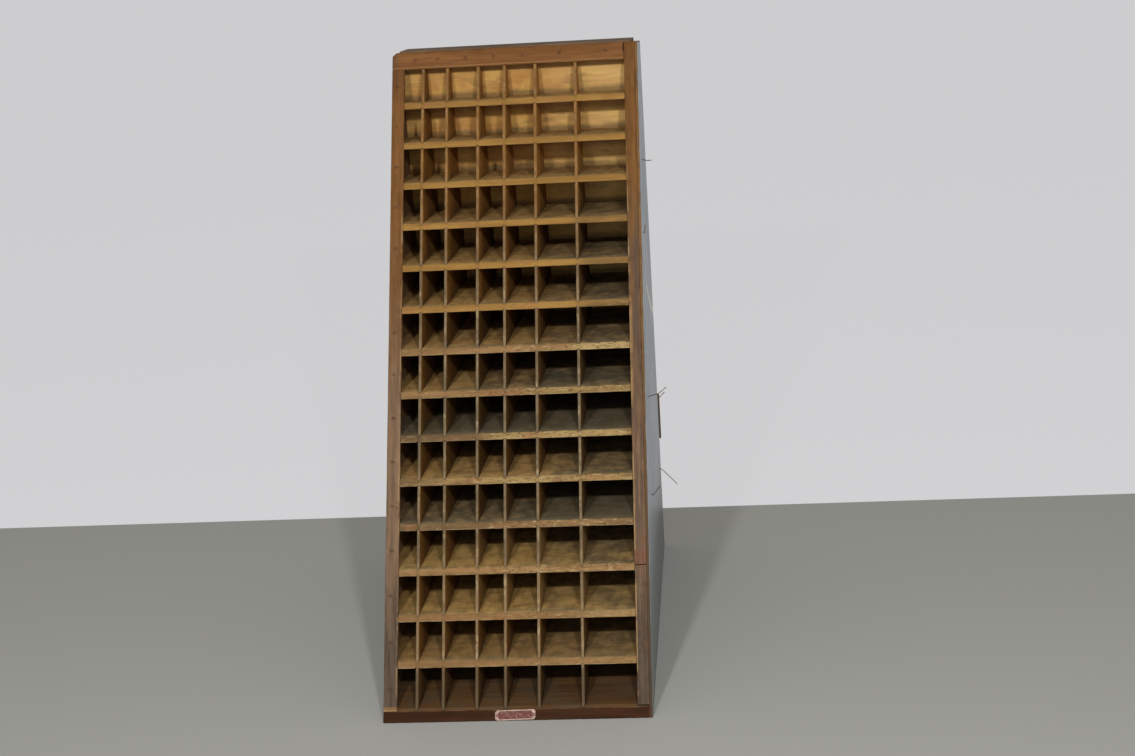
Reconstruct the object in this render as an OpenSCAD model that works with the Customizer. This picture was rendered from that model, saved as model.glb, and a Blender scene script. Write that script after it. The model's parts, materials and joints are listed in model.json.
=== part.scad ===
// Slant-front sorting case: fifteen rows of seven open pigeonholes between two
// wedge-shaped sides. Millimetres, +Z up, the open front faces -Y. The origin is
// on the floor, at the middle of the case's width and depth.

/* [Case] */
// Width over the two sides
case_w = 500; // [470:5:620]
// Length of the open front, measured up its slope
face_len = 1353; // [1150:1:1650]
// Depth of the case at the top, along the floor direction
top_d = 117; // [112:1:200]
// Slope of the open front back from the vertical, in degrees
lean = 32.6; // [24:0.2:36]

/* [Boards] */
// Thickness of a side
side_t = 13; // [10:0.5:18]
// Thickness of a shelf
shelf_t = 12.2; // [8:0.1:18]
// Thickness of an upright divider
divider_t = 5.3; // [3:0.1:8]
// Thickness of the top board
top_t = 22; // [18:0.5:28]
// Thickness of a back board
back_t = 12; // [8:0.5:16]
// Distance of the back in from the rear edges of the sides
back_inset = 80; // [20:2:84]
// How far the top board stands above the front trim
top_proud = 1.5; // [0:0.5:3]
// How far the tops of the sides lie below the top board's upper face, behind the trim
side_drop = 7; // [3:0.5:12]

/* [Rows and columns] */
// Clear height of the top row, up the slope
top_row_h = 76; // [50:1:110]
// Clear height of the bottom row at the front, up the slope
bottom_row_h = 78; // [50:1:110]
// Clear height left at the back of the bottom row
bottom_row_back_h = 12; // [8:1:40]
// Clear width of column 1, at the left
column_1_w = 34.4; // [25:0.1:45]
// Clear width of column 2
column_2_w = 43.9; // [30:0.1:55]
// Clear width of column 3
column_3_w = 57.6; // [40:0.1:70]
// Clear width of column 4
column_4_w = 48.1; // [35:0.1:60]
// Clear width of column 5
column_5_w = 57.4; // [40:0.1:70]
// Clear width of column 6, next to the widest
column_6_w = 76.1; // [50:0.1:95]

/* [Front trim] */
// Thickness of the stiles and rails, square to the front
trim_t = 8; // [5:0.5:12]
// Width of the left stile
left_stile_w = 25.5; // [18:0.5:32]
// Width of the right stile
right_stile_w = 22; // [16:0.5:28]
// Width of the right side's own edge that shows beside the stile
lip_w = 6; // [3:0.5:8]
// Height of the top rail, up the slope
top_rail_h = 36.5; // [30:0.5:50]
// Height of the bottom rail, up the slope
bottom_rail_h = 22; // [20:0.5:40]
// Height of the butt joint in the right stile, up the slope
stile_joint_v = 284; // [120:1:600]
// Open gap in that joint
stile_gap = 0.9; // [0.2:0.1:0.9]
// Open gap between the top rail and the right stile
rail_gap = 0.9; // [0.2:0.1:0.9]
// Size of the corner cut off the top rail at its left end
corner_cut = 8; // [4:0.5:12]
// How far the shelf fronts lie behind the front of the trim
shelf_setback = 0.8; // [0:0.1:3]
// How far the divider fronts lie behind the front of the trim
divider_setback = 1.6; // [0:0.1:4]

/* [Joinery] */
// Depth of the grooves in the sides that hold the shelves and the back
dado = 4; // [2:0.5:6]
// Depth of the grooves in the shelves that hold the dividers
divider_groove = 2; // [1:0.5:3]
// Play of a board in its groove
fit = 0.15; // [0.05:0.05:0.3]
// Open joint between two back boards
board_gap = 0.6; // [0.2:0.1:0.9]

/* [Nails] */
// Radius of a nail's head
head_r = 1.7; // [1.2:0.1:2.5]
// Thickness of a nail's head
head_t = 0.9; // [0.6:0.1:1.5]
// Radius of a nail's shank
shank_r = 0.9; // [0.6:0.1:1.2]
// Length of a nail under its head
nail_len = 24; // [18:1:30]
// Play of a nail in its hole
nail_fit = 0.05; // [0.02:0.01:0.1]
// Distance of the left stile's nails out from the side's inner face
stile_nail_in = 2.2; // [2:0.1:4]
// Place of each top rail nail across its column, as a share of the column
rail_nail_share = 0.62; // [0.3:0.01:0.7]

/* [Nameplate] */
// Length of the nameplate
plate_w = 74.5; // [50:0.5:90]
// Height of the nameplate
plate_h = 18.5; // [12:0.5:19]
// Thickness of the nameplate
plate_t = 0.8; // [0.5:0.1:1.2]
// Radius of the notch in each corner of the nameplate
plate_notch_r = 2.6; // [1.5:0.1:4]
// Distance of the nameplate's middle left of the middle of the case
plate_shift = 3.7; // [0:0.1:20]
// Turn of the nameplate in the plane of the front, in degrees
plate_turn = 0.9; // [0:0.1:1.5]
// Distance of each plate pin in from the end of the plate
pin_inset = 4.6; // [3.5:0.1:8]
// Radius of a plate pin's head
pin_r = 1.5; // [1:0.1:2]

/* [Wires] */
// Radius of the loose iron wires in the right side
wire_r = 0.8; // [0.5:0.1:1.2]
// Radius of the thin iron rod that hangs on one of them
rod_r = 1.9; // [1:0.1:2]

/* [Hidden] */

rows = 15;
back_boards = 7;
round_fn = 32;
eps = 0.5;                       // overshoot of a cutter past the surface that it cuts

// Overall depth, and the two lines across it that the boards meet
case_d = top_d + face_len * sin(lean);
front_y = -case_d / 2;
back_y = case_d / 2 - back_inset - back_t;      // inner face of the back

// Heights on the front, from distances up its slope
bottom_top = bottom_rail_h * cos(lean);         // the bottom board fills from here to the floor
first_v = bottom_rail_h + bottom_row_h;         // lower edge of the lowest shelf
first_y = front_y + first_v * sin(lean);
drop = first_v * cos(lean) - bottom_top - bottom_row_back_h;
tip = atan(drop / (back_y - first_y));          // slope of the shelves, down to the back
shelf_band = shelf_t / cos(lean - tip);         // height of a shelf's front, up the slope
top_band = top_t / cos(lean - tip);
pitch = (face_len - top_rail_h - top_row_h - shelf_band - first_v) / (rows - 2);

// Columns, from the left stile's inner edge to the right stile's
fixed_columns = [column_1_w, column_2_w, column_3_w, column_4_w, column_5_w, column_6_w];
divider_count = len(fixed_columns);
left_x = -case_w / 2;
right_x = case_w / 2;
open_left = left_x + left_stile_w;
open_right = right_x - lip_w - right_stile_w;
function total(list, count) = count == 0 ? 0 : list[count - 1] + total(list, count - 1);
function divider_x(i) = open_left + total(fixed_columns, i + 1) + i * divider_t;
function column_left(i) = i == 0 ? open_left : divider_x(i - 1) + divider_t;
function column_right(i) = i == divider_count ? open_right : divider_x(i);
inner_left = left_x + side_t;
inner_right = right_x - side_t;
groove_left = inner_left - dado;
groove_right = inner_right + dado;

// ---- geometry of the side view, as [y, z] points ----

// y of the plane that lies 'inset' behind the open front, at height z
function face_y(z, inset = 0) = front_y + z * tan(lean) + inset / cos(lean);
// where a plane that meets the front at height z0, and falls by 'slope', meets that plane
function meet(z0, inset, slope) =
    let (z = z0 - inset / cos(lean) * tan(slope) / (1 + tan(lean) * tan(slope)))
    [face_y(z, inset), z];
// the same falling plane at a given y
function fall(z0, y, slope) = [y, z0 - (y - face_y(z0)) * tan(slope)];
// the band between two such planes, from 'inset' behind the front to y_end
function band(low, high, inset, y_end, low_slope, high_slope) = [
    meet(low, inset, low_slope), fall(low, y_end, low_slope),
    fall(high, y_end, high_slope), meet(high, inset, high_slope)
];
// strip of trim that lies on the front between two distances up the slope
function trim(v_low, v_high) = [
    [face_y(v_low * cos(lean)), v_low * cos(lean)],
    [face_y(v_high * cos(lean)), v_high * cos(lean)],
    [front_y + v_high * sin(lean) + trim_t * cos(lean), v_high * cos(lean) - trim_t * sin(lean)],
    [front_y + v_low * sin(lean) + trim_t * cos(lean), v_low * cos(lean) - trim_t * sin(lean)]
];

// heights at which the shelves meet the front; shelf 1 is the top one
function shelf_low(k) = (first_v + (rows - 1 - k) * pitch) * cos(lean);
function shelf_high(k) = shelf_low(k) + shelf_band * cos(lean);
// middle of a row, up the slope
function row_low_v(row) = row == rows ? bottom_rail_h : first_v + (rows - 1 - row) * pitch + shelf_band;
function row_high_v(row) = row == 1 ? face_len - top_rail_h : first_v + (rows - row) * pitch;
function row_middle_v(row) = (row_low_v(row) + row_high_v(row)) / 2;

case_top = face_len * cos(lean);
top_high = case_top + top_proud;                // upper face of the top board, at the front
top_low = top_high - top_band * cos(lean);
side_top = top_high - side_drop;                // the sides' top plane, where it would meet the front
rear_y = case_d / 2;
back_top = fall(top_low, back_y + back_t, tip)[1];
back_pitch = back_top / back_boards;

// ---- shared modules ----

// a flat board: a side-view outline, carried along X from x to x + width
module board(x, width, outline) {
    translate([x, 0, 0]) rotate([90, 0, 90]) linear_extrude(width) polygon(outline);
}

// puts a child on the front: its origin at x and v up the slope, its +Z out of the front
module on_front(x, v, out = 0) {
    translate([x, front_y + v * sin(lean), v * cos(lean)])
        rotate([90 - lean, 0, 0]) translate([0, 0, out]) children();
}

// one nail along -Z, its head's outer face in the plane z = 0
module nail(play = 0, over = 0) {
    translate([0, 0, -head_t - play]) cylinder(r = head_r + play, h = head_t + play + over, $fn = round_fn);
    translate([0, 0, -head_t - nail_len - play])
        cylinder(r = shank_r + play, h = nail_len + play, $fn = round_fn);
}

module top_rail_nail_places(play = 0, over = 0) {
    for (i = [0 : divider_count]) {
        x = column_left(i) + rail_nail_share * (column_right(i) - column_left(i));
        on_front(x, face_len - top_rail_h / 2) nail(play, over);
    }
}

module left_stile_nail_places(play = 0, over = 0) {
    for (row = [1 : rows])
        on_front(inner_left - stile_nail_in, row_middle_v(row)) nail(play, over);
}

module back_nail_places(play = 0, over = 0) {
    for (i = [0 : back_boards - 1], side = [-1, 1])
        translate([side * (case_w / 2 - side_t - 60), back_y + back_t, nearest_shelf_z(i)])
            rotate([-90, 0, 0]) nail(play, over);
}

// takes the top left corner off the trim
module top_left_cut() {
    on_front(left_x, face_len) rotate([0, 0, 45])
        cube([corner_cut * sqrt(2), corner_cut * sqrt(2), 4 * trim_t], center = true);
}

// height of the shelf end, at the back, that lies nearest the middle of back board i
function shelf_back_z(k) = fall(shelf_low(k), back_y, tip)[1] + shelf_t / 2 / cos(tip);
function nearest(i, k) =
    k == rows - 1 ? k :
    abs(shelf_back_z(k + 1) - (i + 0.5) * back_pitch) < abs(shelf_back_z(k) - (i + 0.5) * back_pitch)
        ? nearest(i, k + 1) : k;
function nearest_shelf_z(i) = shelf_back_z(nearest(i, 1));

// ---- sides ----

// outline of a side, which ends behind the trim
side_outline = [
    [face_y(0, trim_t), 0], [rear_y, 0], fall(side_top, rear_y, tip), meet(side_top, trim_t, tip)
];
// where the trim's top end lies, 'inset' behind the open front
function trim_end(inset) = [front_y + face_len * sin(lean) + inset * cos(lean), case_top - inset * sin(lean)];
// outline of the right side's own front edge, which stands beside the stile; it runs
// 'lip_root' into the side, so that the two make one board
lip_root = 2;
lip_outline = [
    [face_y(0, shelf_setback), 0], [face_y(0, trim_t + lip_root), 0],
    trim_end(trim_t + lip_root), trim_end(shelf_setback)
];

// grooves for the shelves, the bottom board and the back, cut in from the inner face
module side_grooves(x, width) {
    for (k = [1 : rows - 1])
        board(x, width, band(shelf_low(k), shelf_high(k) + fit, trim_t - eps, back_y, tip, tip));
    board(x, width, band(-eps, bottom_top + fit, trim_t - eps, back_y, 0, 0));
    board(x, width, [
        [back_y, -eps], [back_y + back_t + fit, -eps],
        [back_y + back_t + fit, back_top + fit], [back_y, back_top + fit]
    ]);
}

module left_side_panel() {
    color("slategray") difference() {
        board(left_x, side_t, side_outline);
        side_grooves(groove_left, dado + eps);
        left_stile_nail_places(nail_fit, eps);
    }
}

module right_side_panel() {
    color("slategray") difference() {
        union() {
            board(inner_right, side_t, side_outline);
            board(right_x - lip_w, lip_w, lip_outline);
        }
        side_grooves(inner_right - eps, dado + eps);
        wire_places(nail_fit);
    }
}

// ---- boards between the sides ----

// grooves that hold one row's dividers, cut 'divider_groove' into the board at height z0
module divider_grooves(low, high, slope) {
    for (i = [0 : divider_count - 1])
        board(divider_x(i) - fit, divider_t + 2 * fit, band(low, high, -eps, back_y + eps, slope, slope));
}

groove_rise = divider_groove / cos(lean - tip) * cos(lean);   // groove depth as a height on the front

module shelf(k) {
    color("burlywood") difference() {
        board(groove_left, groove_right - groove_left,
              band(shelf_low(k), shelf_high(k), shelf_setback, back_y, tip, tip));
        // notches that clear the stiles
        for (span = [[groove_left - eps, open_left + fit], [open_right - fit, groove_right + eps]])
            board(span[0], span[1] - span[0],
                  [for (p = [[-eps, -pitch], [-eps, pitch], [trim_t + fit, pitch], [trim_t + fit, -pitch]])
                      let (z = shelf_low(k) + p[1]) [face_y(z, p[0]), z]]);
        divider_grooves(shelf_high(k) - groove_rise, shelf_high(k) + 1, tip);
        divider_grooves(shelf_low(k) - 1, shelf_low(k) + groove_rise, tip);
        back_nail_places(nail_fit);
    }
}

module bottom_board() {
    color("peru") difference() {
        board(groove_left, groove_right - groove_left,
              band(0, bottom_top, trim_t, back_y, 0, 0));
        divider_grooves(bottom_top - divider_groove, bottom_top + 1, 0);
        back_nail_places(nail_fit);
    }
}

module top_board() {
    color("saddlebrown") difference() {
        board(inner_left, inner_right - inner_left, band(top_low, top_high, trim_t, rear_y, tip, tip));
        divider_grooves(top_low - 1, top_low + groove_rise, tip);
        top_rail_nail_places(nail_fit);
    }
}

module back_board(i) {
    top = i == back_boards ? back_top : i * back_pitch - board_gap / 2;
    low = i == 1 ? 0 : (i - 1) * back_pitch + board_gap / 2;
    color("wheat") difference() {
        translate([groove_left, back_y, low]) cube([groove_right - groove_left, back_t, top - low]);
        // the top board's slope bevels the highest board
        board(groove_left - eps, groove_right - groove_left + 2 * eps,
              band(top_low, top_high + pitch, 0, rear_y, tip, tip));
        back_nail_places(nail_fit, eps);
    }
}

// the six uprights of one row, in grooves in the boards above and below
module row_dividers(row) {
    low = shelf_high(row) - groove_rise;
    high = row == 1 ? top_low + groove_rise : shelf_low(row - 1) + groove_rise;
    inset = row == 1 ? trim_t : divider_setback;
    // the bottom row is notched over the bottom rail, and stands in the bottom board behind it
    outline = row < rows ? band(low, high, inset, back_y, tip, tip) : [
        meet(bottom_top, inset, 0), meet(bottom_top, trim_t, 0),
        meet(bottom_top - divider_groove, trim_t, 0), [back_y, bottom_top - divider_groove],
        fall(high, back_y, tip), meet(high, inset, tip)
    ];
    color("tan")
        for (i = [0 : divider_count - 1]) board(divider_x(i), divider_t, outline);
}

// ---- trim ----

module left_stile() {
    color("sienna") difference() {
        board(left_x, left_stile_w, trim(bottom_rail_h, face_len - top_rail_h));
        left_stile_nail_places(nail_fit, eps);
    }
}

module right_stile(v_low, v_high) {
    color("sienna") board(open_right, right_stile_w, trim(v_low, v_high));
}

module top_rail() {
    color("sienna") difference() {
        board(left_x, open_right - rail_gap - left_x, trim(face_len - top_rail_h, face_len));
        top_rail_nail_places(nail_fit, eps);
        top_left_cut();
    }
}

module bottom_rail() {
    color("saddlebrown") difference() {
        board(left_x, case_w - lip_w, trim(0, bottom_rail_h));
        translate([left_x - eps, front_y - case_d, -case_d]) cube([case_w + 2 * eps, 2 * case_d, case_d]);
        on_plate() plate_pin_places(nail_fit, eps);
    }
}

// ---- nails ----

module top_rail_nails() {
    color("dimgray") top_rail_nail_places();
}

module left_stile_nails() {
    color("dimgray") left_stile_nail_places();
}

module back_nails() {
    color("dimgray") back_nail_places();
}

// ---- nameplate ----

module on_plate() {
    on_front(-plate_shift, bottom_rail_h / 2) rotate([0, 0, plate_turn]) children();
}

module plate_pin_places(play = 0, over = 0) {
    for (side = [-1, 1])
        translate([side * (plate_w / 2 - pin_inset), 0, -trim_t / 2])
            cylinder(r = pin_r / 2 + play, h = trim_t / 2 + plate_t + over, $fn = round_fn);
}

module nameplate() {
    color("indianred") on_plate() difference() {
        linear_extrude(plate_t) difference() {
            square([plate_w, plate_h], center = true);
            for (x = [-1, 1], y = [-1, 1])
                translate([x * plate_w / 2, y * plate_h / 2]) circle(r = plate_notch_r, $fn = round_fn);
        }
        plate_pin_places(nail_fit, eps);
    }
}

module nameplate_pins() {
    color("silver") on_plate() {
        plate_pin_places();
        for (side = [-1, 1])
            translate([side * (plate_w / 2 - pin_inset), 0, plate_t])
                cylinder(r = pin_r, h = head_t, $fn = round_fn);
    }
}

// ---- loose wires in the right side ----

// one straight eight-sided length of wire from a to b, run on a little at both ends
// so that two lengths make a closed bend
module wire(a, b, r) {
    d = b - a;
    translate(a) rotate([0, acos(d[2] / norm(d)), atan2(d[1], d[0])])
        translate([0, 0, -r / 2]) cylinder(r = r, h = norm(d) + r, $fn = 8);
}

// each wire: the height of its hole, its distance in front of the rear edge, and its bends,
// given as steps of [out of the side, towards the back, up]
WIRES = [
    [908, 176, [[9, 2, -3], [10, -3, 1]]],
    [780, 282, [[2, 1, 1], [2, -4, 15]]],
    [480, 414, [[9, 3, 2], [10, -5, 4], [16, 6, 11]]],
    [202, 59, [[6, 2, -4], [30, -5, -31]]],
    [297, 475, [[3, 0, 0], [13, 2, 17]]]
];
hole_depth = 6;

function wire_foot(w) = [right_x - hole_depth, rear_y - w[1], w[0]];
function wire_point(w, i) =
    i == 0 ? wire_foot(w) + [hole_depth + wire_r, 0, 0] : wire_point(w, i - 1) + w[2][i - 1];

// the holes that the wires stand in
module wire_places(play = 0) {
    for (w = WIRES)
        translate(wire_foot(w) - [wire_r / 2 + play, 0, 0]) rotate([0, 90, 0])
            cylinder(r = wire_r + play, h = hole_depth + 2 * wire_r, $fn = round_fn);
}

module side_wires() {
    color("dimgray") for (w = WIRES) {
        wire(wire_foot(w), wire_point(w, 0), wire_r);
        for (i = [1 : len(w[2])])
            wire(wire_point(w, i - 1), wire_point(w, i), wire_r);
    }
}

// hangs just under the second bend of the third wire, with a short bent arm of its own
rod_len = 91;
arm_drop = 9;
arm_reach = 12;
module hanging_rod() {
    top = wire_point(WIRES[2], 2) - [0, 0, 1.5 * wire_r + nail_fit];
    arm_root = top - [0, 0, arm_drop];
    color("saddlebrown") {
        translate(top - [0, 0, rod_len]) cylinder(r = rod_r, h = rod_len, $fn = round_fn);
        wire(arm_root, arm_root + [arm_reach, 2, arm_reach], wire_r);
    }
}

left_side_panel();
right_side_panel();
bottom_board();
top_board();
back_board(1);  // back_board_1
back_board(2);  // back_board_2
back_board(3);  // back_board_3
back_board(4);  // back_board_4
back_board(5);  // back_board_5
back_board(6);  // back_board_6
back_board(7);  // back_board_7
shelf(1);  // shelf_01
shelf(2);  // shelf_02
shelf(3);  // shelf_03
shelf(4);  // shelf_04
shelf(5);  // shelf_05
shelf(6);  // shelf_06
shelf(7);  // shelf_07
shelf(8);  // shelf_08
shelf(9);  // shelf_09
shelf(10);  // shelf_10
shelf(11);  // shelf_11
shelf(12);  // shelf_12
shelf(13);  // shelf_13
shelf(14);  // shelf_14
row_dividers(1);  // row_01_dividers
row_dividers(2);  // row_02_dividers
row_dividers(3);  // row_03_dividers
row_dividers(4);  // row_04_dividers
row_dividers(5);  // row_05_dividers
row_dividers(6);  // row_06_dividers
row_dividers(7);  // row_07_dividers
row_dividers(8);  // row_08_dividers
row_dividers(9);  // row_09_dividers
row_dividers(10);  // row_10_dividers
row_dividers(11);  // row_11_dividers
row_dividers(12);  // row_12_dividers
row_dividers(13);  // row_13_dividers
row_dividers(14);  // row_14_dividers
row_dividers(15);  // row_15_dividers
left_stile();
right_stile(stile_joint_v + stile_gap, face_len);  // right_stile_upper
right_stile(bottom_rail_h, stile_joint_v);  // right_stile_lower
top_rail();
bottom_rail();
top_rail_nails();
left_stile_nails();
back_nails();
nameplate();
nameplate_pins();
side_wires();
hanging_rod();
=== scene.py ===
"""The finished look of a slant-front pigeonhole case: old stained and bare wood, blue-grey
painted sides, rusty nails and wires and a small enamelled plate, on a plain studio floor."""
import json
import math

import bmesh
import bpy
from mathutils import Matrix, Vector, noise


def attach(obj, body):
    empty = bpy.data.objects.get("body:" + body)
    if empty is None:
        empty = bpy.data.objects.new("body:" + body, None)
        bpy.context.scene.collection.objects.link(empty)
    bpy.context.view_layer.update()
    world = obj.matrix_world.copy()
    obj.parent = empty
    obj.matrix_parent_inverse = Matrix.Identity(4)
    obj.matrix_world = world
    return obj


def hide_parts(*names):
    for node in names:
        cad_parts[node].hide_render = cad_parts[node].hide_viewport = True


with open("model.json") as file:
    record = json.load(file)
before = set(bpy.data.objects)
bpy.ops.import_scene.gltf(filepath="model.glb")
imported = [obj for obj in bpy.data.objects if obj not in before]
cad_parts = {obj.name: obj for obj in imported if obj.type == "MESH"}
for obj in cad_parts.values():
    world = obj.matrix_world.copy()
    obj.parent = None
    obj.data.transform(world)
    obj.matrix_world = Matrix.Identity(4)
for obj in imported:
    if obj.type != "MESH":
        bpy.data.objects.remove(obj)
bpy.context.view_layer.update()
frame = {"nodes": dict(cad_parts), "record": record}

# ---- sizes shared with the construction, in metres ----
LEAN = math.radians(32.6)
CASE_W = 0.500
FACE_LEN = 1.353
TOP_DEPTH = 0.117
CASE_D = TOP_DEPTH + FACE_LEN * math.sin(LEAN)
FRONT_Y = -CASE_D / 2
BACK_INSET = 0.080
BACK_T = 0.012
BACK_BOARDS = 7
BACK_Y = CASE_D / 2 - BACK_INSET - BACK_T
UP_SLOPE = Vector((0, math.sin(LEAN), math.cos(LEAN)))
OUT_OF_FACE = Vector((0, -math.cos(LEAN), math.sin(LEAN)))
FACE_CORNER = Vector((-CASE_W / 2, FRONT_Y, 0))
X_AXIS = Vector((1, 0, 0))

TOP_RAIL_H = 0.0365
BOTTOM_RAIL_H = 0.022
LEFT_STILE_W = 0.0255
RIGHT_STILE_W = 0.022
LIP_W = 0.006
RIGHT_STILE_U = CASE_W - LIP_W - RIGHT_STILE_W
TOP_ROW_H = 0.076
BOTTOM_ROW_H = 0.078
BOTTOM_ROW_BACK_H = 0.012
LOWEST_SHELF = BOTTOM_RAIL_H + BOTTOM_ROW_H
SHELF_DROP = BOTTOM_ROW_H * math.cos(LEAN) - BOTTOM_ROW_BACK_H
SHELF_TIP = math.atan(SHELF_DROP / (BACK_Y - FRONT_Y - LOWEST_SHELF * math.sin(LEAN)))
SHELF_T = 0.0122
LAST_ROW = 15
# the shelves' height on the front and their spacing, to a tenth of a micrometre
SHELF_BAND = round(SHELF_T / math.cos(LEAN - SHELF_TIP), 7)
SHELVES_RISE = FACE_LEN - TOP_RAIL_H - TOP_ROW_H - SHELF_BAND - LOWEST_SHELF
ROW_PITCH = round(SHELVES_RISE / (LAST_ROW - 2), 7)

DIVIDER_T = 0.0053
COLUMNS = (0.0344, 0.0439, 0.0576, 0.0481, 0.0574, 0.0761, 0.0972)
NAIL_SHARE = 0.62
STILE_NAIL_U = 0.0108
PLATE_W = 0.0745
PLATE_H = 0.0185
PLATE_T = 0.0008
PLATE_NOTCH = 0.0026
PLATE_SHIFT = 0.0037
PLATE_TURN = math.radians(0.9)
WIRE_R = 0.0008

# ---- camera ----
lens = bpy.data.cameras.new("studio_camera")
lens.sensor_fit = "HORIZONTAL"
lens.sensor_width = 36
lens.lens = 61.27
lens.clip_end = 60
camera = bpy.data.objects.new("studio_camera", lens)
camera.location = (0.4238, -3.6191, 1.6199)
camera.rotation_euler = [math.radians(angle) for angle in (73.228, 3.455, 4.170)]
bpy.context.scene.collection.objects.link(camera)
bpy.context.scene.camera = camera


def tone(red, green, blue):
    """A colour given as 0-255 screen values, as the shader wants it."""
    def channel(value):
        value /= 255
        return value / 12.92 if value <= 0.04045 else ((value + 0.055) / 1.055) ** 2.4
    return (channel(red), channel(green), channel(blue), 1.0)


class Wire:
    """One socket of a node tree. Arithmetic on it adds Math nodes."""

    def __init__(self, nodes, socket):
        self.nodes, self.socket = nodes, socket

    def __add__(self, other):
        return self.nodes.maths("ADD", self, other)

    def __sub__(self, other):
        return self.nodes.maths("SUBTRACT", self, other)

    def __rsub__(self, other):
        return self.nodes.maths("SUBTRACT", other, self)

    def __mul__(self, other):
        return self.nodes.maths("MULTIPLY", self, other)

    def __abs__(self):
        return self.nodes.maths("ABSOLUTE", self)

    __radd__ = __add__
    __rmul__ = __mul__

    def ramp(self, low, high):
        """0 at low, 1 at high, and a smooth step between; low may be the larger."""
        return self.nodes.node(
            "ShaderNodeMapRange", {"interpolation_type": "SMOOTHSTEP"},
            {"Value": self, "From Min": low, "From Max": high, "To Min": 0.0, "To Max": 1.0})


class Nodes:
    """A node tree, its nodes made by a few short calls."""

    def __init__(self, tree):
        self.tree = tree

    def node(self, kind, settings, sockets, out=0):
        made = self.tree.nodes.new(kind)
        for key, value in settings.items():
            setattr(made, key, value)
        self.fill(made, sockets)
        return Wire(self, made.outputs[out])

    def fill(self, node, sockets):
        """Links a wire to each of these sockets of a node, or sets a plain value on it."""
        for key, value in sockets.items():
            if isinstance(value, Wire):
                self.tree.links.new(value.socket, node.inputs[key])
            else:
                node.inputs[key].default_value = value

    def maths(self, operation, *values):
        return self.node("ShaderNodeMath", {"operation": operation}, dict(enumerate(values)))

    def vector(self, operation, a, b, out="Vector"):
        b = b if isinstance(b, Wire) else tuple(b)
        return self.node("ShaderNodeVectorMath", {"operation": operation}, {0: a, 1: b}, out)

    def split(self, vector, axis):
        return self.node("ShaderNodeSeparateXYZ", {}, {0: vector}, axis)

    def join(self, x, y, z):
        return self.node("ShaderNodeCombineXYZ", {}, {0: x, 1: y, 2: z})

    def noise(self, place, stretch, detail=4.0, rough=0.55, warp=0.0):
        """Noise from 0 to 1. stretch is features per metre along each axis of place."""
        return self.node(
            "ShaderNodeTexNoise", {},
            {"Vector": self.vector("MULTIPLY", place, stretch), "Scale": 1.0, "Detail": detail,
             "Roughness": rough, "Distortion": warp})

    def mix(self, share, a, b):
        """The colour a turned into b by share."""
        return self.node(
            "ShaderNodeMix", {"data_type": "RGBA", "clamp_factor": True}, {0: share, 6: a, 7: b}, 2)

    def band(self, value, low, high, soft):
        """1 between low and high, and 0 outside, with soft edges."""
        return value.ramp(low - soft, low + soft) * value.ramp(high + soft, high - soft)

    def most(self, a, b):
        return self.maths("MAXIMUM", a, b)

    def least(self, a, b):
        return self.maths("MINIMUM", a, b)


class Finish(Nodes):
    """The nodes of one material, and the places on the case that it can follow.

    u runs to the right and v up the slope from the open front's lower left corner, and n out of it.
    """

    def __init__(self, name):
        self.material = bpy.data.materials.new(name)
        self.material.use_nodes = True
        super().__init__(self.material.node_tree)
        self.shader = self.tree.nodes["Principled BSDF"]
        self.place = self.node("ShaderNodeTexCoord", {}, {}, "Object")
        local = self.vector("SUBTRACT", self.place, FACE_CORNER)
        self.u = self.split(local, "X")
        self.v = self.vector("DOT_PRODUCT", local, UP_SLOPE, "Value")
        self.n = self.vector("DOT_PRODUCT", local, OUT_OF_FACE, "Value")
        self.x, self.y, self.z = (self.split(self.place, axis) for axis in "XYZ")
        self.normal = self.node("ShaderNodeNewGeometry", {}, {}, "Normal")

    def level(self):
        """How far up the front the shelf plane through each point starts."""
        drop = math.tan(SHELF_TIP)
        rise = math.cos(LEAN) + math.sin(LEAN) * drop
        return (self.z + (self.y - FRONT_Y) * drop) * (1 / rise)

    def depth(self):
        """How far each point lies behind the front, along its shelf."""
        return self.y - FRONT_Y - self.level() * math.sin(LEAN)

    def above_shelf(self):
        """How far each point lies above the top of the shelf under it, up the slope."""
        return self.within_row(self.level() - (LOWEST_SHELF + SHELF_BAND))

    def above_band(self):
        """On the front, how far each point lies above the lower edge of a shelf."""
        return self.within_row(self.v - LOWEST_SHELF)

    def within_row(self, rise):
        return self.maths("FLOORED_MODULO", rise, ROW_PITCH)

    def facing(self, direction, low, high):
        """1 where the surface faces direction, by the cosine between them."""
        return self.vector("DOT_PRODUCT", self.normal, direction, "Value").ramp(low, high)

    def on_front(self):
        """1 on what faces the same way as the open front."""
        return self.facing(OUT_OF_FACE, 0.55, 0.8)

    def done(self, colour, roughness, height, depth=0.0005, specular=0.35, metallic=0.0):
        """Finishes the material; height lifts the surface by up to depth, in metres."""
        bump = self.node(
            "ShaderNodeBump", {}, {"Strength": 0.8, "Distance": depth, "Height": height}, "Normal")
        self.fill(self.shader, {
            "Base Color": colour, "Roughness": roughness, "Metallic": metallic,
            "Specular IOR Level": specular, "Normal": bump})
        return self.material


# ---- finishes ----

def grain(f, place, stretch):
    """Growth bands and fine fibres that follow the same direction, both 0 to 1."""
    warp = f.noise(place, tuple(s * 0.35 for s in stretch), 2, 0.5)
    moved = f.vector("ADD", place, f.join(warp * 0.012, warp * 0.012, warp * 0.012))
    bands = f.noise(moved, stretch, 3, 0.55, 0.4).ramp(0.34, 0.66)
    fibres = f.noise(moved, tuple(s * 5 for s in stretch), 4, 0.65).ramp(0.3, 0.7)
    return bands, fibres


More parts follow.
